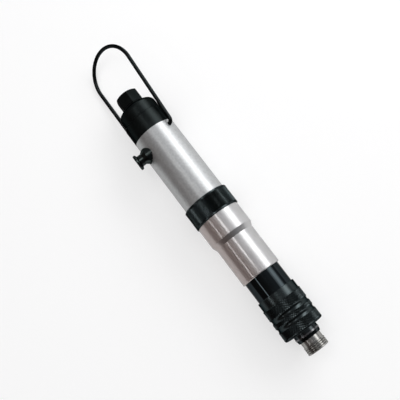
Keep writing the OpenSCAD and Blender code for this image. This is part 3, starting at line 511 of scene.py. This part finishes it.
# %% Sizes of the sleeve
sleeve_points = turned_points("bit_sleeve")
_, sleeve_end, land_radius, sleeve_radius = reach(sleeve_points)
land_stations = [s for s, r in sleeve_points if r < land_radius + CLOSE]
land_low, land_high = min(land_stations), max(land_stations)
sleeve_bore = min(r for s, r in sleeve_points if s < CLOSE)
neck_radius = max(r for s, r in sleeve_points if s > sleeve_end - CLOSE)
grip_length = max(s for s, r in sleeve_points if r > neck_radius + CLOSE)
print("grip", round(grip_length, 2), "mm long, wall", round(sleeve_radius - sleeve_bore, 2))

# %% Ribbed bit sleeve
rib_count = 4
rib_pitch = grip_length / rib_count
rib_cut_depth = 0.5
rib_cut_half = 0.45
sleeve_edge = 0.35
sleeve_pairs = 48
rib_rows = []
for i in range(1, rib_count):
    rib_rows += [plain_row(i * rib_pitch - rib_cut_half, sleeve_radius),
                 plain_row(i * rib_pitch, sleeve_radius - rib_cut_depth),
                 plain_row(i * rib_pitch + rib_cut_half, sleeve_radius)]
ribbed_sleeve = turned_piece("ribbed_sleeve", [
    plain_row(0, sleeve_bore),
    plain_row(0, sleeve_radius - sleeve_edge),
    plain_row(sleeve_edge, sleeve_radius),
    *rib_rows,
    plain_row(grip_length - sleeve_edge, sleeve_radius),
    plain_row(grip_length, sleeve_radius - sleeve_edge),
    plain_row(grip_length, neck_radius),
    plain_row(sleeve_end, neck_radius),
    plain_row(sleeve_end, sleeve_bore),
    plain_row(land_high, sleeve_bore),
    plain_row(land_high, land_radius),
    plain_row(land_low, land_radius),
    plain_row(land_low, sleeve_bore),
], sleeve_pairs)
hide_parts("bit_sleeve")
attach(ribbed_sleeve, "sleeve")

# %% [markdown]
# ## The inlet thread
# The air line screws into the end of the hexagon. The solid has a plain bore of the thread's inner
# size, as a drawing does. A modelled thread could stand inside the bore as a coil of its own, but
# then the bore would be too narrow. So we cut it as a tap does: a V-shaped coil is taken away from
# the wall, and the piece keeps its true inner diameter. The coil starts a little above the floor of
# the bore and runs out through the mouth.

# %% Sizes of the thread
inlet_points = turned_points("inlet_bushing")
inlet_mouth = max(s for s, r in inlet_points)
mouth_edge = 1.0
thread_radius = min(r for s, r in inlet_points if s > inlet_mouth - CLOSE)
thread_floor = min(s for s, r in inlet_points
                   if abs(r - thread_radius) < CLOSE and s < inlet_mouth - mouth_edge)
INCH = 25.4
threads_per_inch = 19
thread_pitch = INCH / threads_per_inch
uncut_turns = 0.5
thread_turns = (inlet_mouth - thread_floor) / thread_pitch - uncut_turns
print("thread turns", round(thread_turns, 1), "inner radius", round(thread_radius, 2))

# %% Tap
thread_depth = 0.86
thread_mouth = 0.42 * thread_pitch
thread_inside = 0.15
first_groove = 0.75
turn_steps = 48
tap = bmesh.new()
last_section = None
for i in range(round(thread_turns * turn_steps) + turn_steps):
    turn = 2 * math.pi * i / turn_steps
    middle = thread_floor + thread_pitch * (first_groove + i / turn_steps)
    section = [tap.verts.new(turned_point(station, radius, turn))
               for station, radius in ((middle - thread_mouth, thread_radius - thread_inside),
                                       (middle, thread_radius + thread_depth),
                                       (middle + thread_mouth, thread_radius - thread_inside))]
    if last_section is None:
        tap.faces.new(section)
    else:
        for k in range(3):
            tap.faces.new((last_section[k], last_section[(k + 1) % 3], section[(k + 1) % 3], section[k]))
    last_section = section
tap.faces.new(last_section)
bmesh.ops.recalc_face_normals(tap, faces=tap.faces)
tap_object = mesh_object("tap", tap)
print("tap faces", len(tap_object.data.polygons))

# %% Tapped inlet
tapped_inlet = bpy.data.objects.new("tapped_inlet", nodes["inlet_bushing"].data.copy())
scene.collection.objects.link(tapped_inlet)
tapping = tapped_inlet.modifiers.new("tapping", "BOOLEAN")
tapping.operation = "DIFFERENCE"
tapping.solver = "EXACT"
tapping.object = tap_object
cut_mesh = bpy.data.meshes.new_from_object(
    tapped_inlet.evaluated_get(bpy.context.evaluated_depsgraph_get()))
tapped_data = bpy.data.meshes.new("tapped_inlet")
tapped_data.from_pydata([v.co for v in cut_mesh.vertices], [], [p.vertices for p in cut_mesh.polygons])
tapped_inlet.modifiers.clear()
tapped_inlet.data = tapped_data
bpy.data.objects.remove(tap_object)
crisp(tapped_data)
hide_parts("inlet_bushing")
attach(tapped_inlet, "housing")
print("tapped inlet faces", len(tapped_data.polygons))

# %% [markdown]
# ## The springs
# Four coil springs sit inside the tool: in the black tube, behind the throttle valve, in the bit
# sleeve and behind the reverse valve. A real spring gets shorter when something presses on it. A
# rigid copy would run into the piece that presses it. Here each spring is copied as a coil with its
# own mesh and hung on the body that carries it, and its solid is hidden.

# %% Springs as coils of their own
coils = []
for node, joint_name, body in (("clutch_spring", "adjust_travel", "housing"),
                               ("throttle_spring", "push_start", "housing"),
                               ("sleeve_spring", "sleeve_pull", "spindle"),
                               ("reverse_spring", "reverse_press", "housing")):
    coil = bpy.data.objects.new(node.replace("spring", "coil"), nodes[node].data.copy())
    scene.collection.objects.link(coil)
    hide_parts(node)
    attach(coil, body)
    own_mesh(coil)
    coils.append(coil)

# %% [markdown]
# ## A kit for finishes
# Each finish starts from the same small kit: a shader with its plain numbers set on its own
# sockets, a soft cloudiness in the roughness as handling leaves it, and fine tool marks as bump.
# A lathe leaves marks that run round the axis, so their pattern only changes along it. Machined
# metal mirrors twice: a soft sheen from its tool marks, and a thin sharp image from the polished
# ridges between them. The shader's coat gives that second, sharp image. Black anodising and black
# oxide swallow light at every angle. A plain black paint would gleam white along its rim, so these
# finishes are a very dark metal, and the tint of the shader's edge keeps the rim dim.

# %% Start of a finish


def start_finish(name, metallic, coat, rim):
    """A new material: its node tree, its shader and the tool's own coordinates."""
    finish = bpy.data.materials.new(name)
    finish.use_nodes = True
    tree = finish.node_tree
    shader = tree.nodes["Principled BSDF"]
    shader.inputs["Metallic"].default_value = metallic
    shader.inputs["Specular Tint"].default_value = (rim, rim, rim, 1)
    if coat:
        shader.inputs["Coat Weight"].default_value = 1.0
        shader.inputs["Coat Roughness"].default_value, shader.inputs["Coat IOR"].default_value = coat
    place = tree.nodes.new("ShaderNodeTexCoord").outputs["Object"]
    return finish, tree, shader, place


# %% Clouds, marks and painted shade on one flank
TURNED = (1, 0.02, 0.02)
EVEN = (1, 1, 1)
cloud_detail, mark_detail = 3.0, 2.0
noise_low, noise_high = 0.3, 0.7
mark_depth = 0.02 * MM
# Painted shade on one flank fades in between these two places across the tool, in metres
flank_shade_start, flank_shade_end = 5 * MM, -9 * MM


def clouds(tree, place, scale, stretch, detail):
    """Soft noise over the piece, stretched along the axes as asked."""
    mapping = tree.nodes.new("ShaderNodeMapping")
    mapping.inputs["Scale"].default_value = stretch
    noise = tree.nodes.new("ShaderNodeTexNoise")
    noise.inputs["Scale"].default_value = scale
    noise.inputs["Detail"].default_value = detail
    tree.links.new(place, mapping.inputs["Vector"])
    tree.links.new(mapping.outputs["Vector"], noise.inputs["Vector"])
    return noise.outputs["Fac"]


def bump(tree, value, strength):
    """Fine relief from a noise value."""
    relief = tree.nodes.new("ShaderNodeBump")
    relief.inputs["Strength"].default_value = strength
    relief.inputs["Distance"].default_value = mark_depth
    tree.links.new(value, relief.inputs["Height"])
    return relief.outputs["Normal"]


def painted_flank_shade(tree, place, colour, flank_shade_colour):
    """Painted shade: the colour, darkened and turned brown more and more towards the flank that mirrors
    the dim side of the room.
    """
    parts = tree.nodes.new("ShaderNodeSeparateXYZ")
    tree.links.new(place, parts.inputs["Vector"])
    beside = mapped(tree, parts.outputs["Y"], flank_shade_start, flank_shade_end, curve="SMOOTHSTEP")
    flank_shading = tree.nodes.new("ShaderNodeMix")
    flank_shading.data_type = "RGBA"
    flank_shading.blend_type = "MULTIPLY"
    flank_shading.inputs["Factor"].default_value = 1.0
    tree.links.new(colour, flank_shading.inputs["A"])
    tree.links.new(blend_colours(tree, beside, (1, 1, 1), flank_shade_colour), flank_shading.inputs["B"])
    return flank_shading.outputs["Result"]


# %% A machined finish


def metal_finish(name, dark, light, rough, metallic=1.0, marks=TURNED, mark_scale=6000,
                 mark_strength=0.12, cloud_scale=120, coat=None, rim=1.0, flank_shade_colour=None):
    """A machined finish: a little cloudy in colour and roughness, with fine marks as bump."""
    finish, tree, shader, place = start_finish(name, metallic, coat, rim)
    cloudy = clouds(tree, place, cloud_scale, EVEN, cloud_detail)
    fine = clouds(tree, place, mark_scale, marks, mark_detail)
    colour = blend_colours(tree, mapped(tree, cloudy, noise_low, noise_high), dark, light)
    # Painted shade: a darker, browner flank where the dim side of the room mirrors
    if flank_shade_colour:
        colour = painted_flank_shade(tree, place, colour, flank_shade_colour)
    tree.links.new(colour, shader.inputs["Base Color"])
    tree.links.new(mapped(tree, cloudy, noise_low, noise_high, *rough), shader.inputs["Roughness"])
    tree.links.new(bump(tree, fine, mark_strength), shader.inputs["Normal"])
    return finish


# %% [markdown]
# ## The finishes
# The blacks lean a little to green, as black oxide does. The head is satin, the tube is glossy, and
# the knurls are a shade lighter. The barrel is blasted, so its grain is the same in all directions,
# while the clutch housing is turned and polished. Painted shade darkens the flank of that housing
# that mirrors the dim warm side of the room, and turns its colour brown there. One function for each
# metal would repeat itself, so a table holds what differs: two colours and two roughnesses that the
# clouds run between, the marks, the coat as its roughness and its index, the rim, and the colour of
# the painted shade on a flank.

# %% Table of finishes
looks = {
    "black_anodised": dict(dark=(0.014, 0.017, 0.017), light=(0.019, 0.023, 0.023), rough=(0.33, 0.42),
                           rim=0.25),
    "black_wire": dict(dark=(0.017, 0.020, 0.020), light=(0.024, 0.028, 0.029), rough=(0.24, 0.32),
                       marks=EVEN, mark_scale=2500, rim=0.2),
    "black_knurled": dict(dark=(0.035, 0.043, 0.044), light=(0.045, 0.055, 0.057), rough=(0.22, 0.28),
                          marks=EVEN, mark_scale=5000, rim=0.3),
    "black_gloss": dict(dark=(0.019, 0.024, 0.026), light=(0.024, 0.030, 0.033), rough=(0.06, 0.10),
                        mark_strength=0.03, rim=0.5),
    "black_nose": dict(dark=(0.031, 0.036, 0.037), light=(0.038, 0.045, 0.047), rough=(0.14, 0.20),
                       rim=0.3),
    "nose_ring_steel": dict(dark=(0.10, 0.10, 0.105), light=(0.15, 0.15, 0.155), rough=(0.18, 0.26)),
    "button_black": dict(dark=(0.038, 0.046, 0.044), light=(0.047, 0.057, 0.055), rough=(0.14, 0.20),
                         rim=0.3),
    "silver_barrel": dict(dark=(0.442, 0.452, 0.455), light=(0.570, 0.583, 0.583), rough=(0.46, 0.54),
                          marks=EVEN, mark_scale=1300, mark_strength=0.26, cloud_scale=600,
                          coat=(0.34, 1.65), rim=0.0),
    # Painted shade: the flank towards the dim side is darkened and turned brown
    "silver_clutch": dict(dark=(0.50, 0.495, 0.495), light=(0.56, 0.555, 0.555), rough=(0.44, 0.50),
                          mark_strength=0.06, coat=(0.11, 1.75), rim=0.0, flank_shade_colour=(0.93, 0.80, 0.76)),
    "chrome_sleeve": dict(dark=(0.31, 0.305, 0.29), light=(0.38, 0.375, 0.36), rough=(0.24, 0.32),
                          rim=0.45),
    "tool_steel": dict(dark=(0.38, 0.38, 0.39), light=(0.46, 0.46, 0.47), rough=(0.24, 0.34)),
    "gear_steel": dict(dark=(0.25, 0.25, 0.26), light=(0.34, 0.34, 0.35), rough=(0.28, 0.38)),
    "bearing_steel": dict(dark=(0.52, 0.52, 0.53), light=(0.60, 0.60, 0.61), rough=(0.08, 0.14),
                          mark_strength=0.03),
    "spring_steel": dict(dark=(0.28, 0.28, 0.29), light=(0.38, 0.38, 0.39), rough=(0.24, 0.34),
                         marks=EVEN, mark_scale=3000),
    "cast_aluminium": dict(dark=(0.44, 0.44, 0.45), light=(0.52, 0.52, 0.53), rough=(0.34, 0.46)),
    "cast_iron": dict(dark=(0.16, 0.16, 0.17), light=(0.24, 0.24, 0.25), rough=(0.34, 0.48)),
    "brass": dict(dark=(0.55, 0.38, 0.14), light=(0.66, 0.47, 0.19), rough=(0.20, 0.30)),
    "rubber": dict(dark=(0.015, 0.015, 0.015), light=(0.025, 0.025, 0.025), rough=(0.55, 0.7),
                   metallic=0.0, marks=EVEN, mark_scale=1500),
    "vane_composite": dict(dark=(0.17, 0.09, 0.04), light=(0.24, 0.13, 0.06), rough=(0.45, 0.6),
                           metallic=0.0, marks=EVEN, mark_scale=1500),
}
finishes = {slot: metal_finish(slot, **look) for slot, look in looks.items()}
print("finishes:", len(finishes))

# %% Dress the pieces


def dress(piece, slot):
    """Give a piece the finish of its slot and nothing else."""
    piece.data.materials.clear()
    piece.data.materials.append(finishes[slot])


for entry in frame["record"]["subparts"]:
    dress(nodes[entry["node"]], entry["material_slot"])
new_pieces = [(knurled_ring, "black_knurled"), (knurled_collar, "black_knurled"),
              (ribbed_sleeve, "chrome_sleeve"), (tapped_inlet, "black_anodised"),
              *((coil, "spring_steel") for coil in coils)]
for piece, slot in new_pieces:
    dress(piece, slot)
print("dressed", len(nodes), "solids and", len(new_pieces), "new pieces")
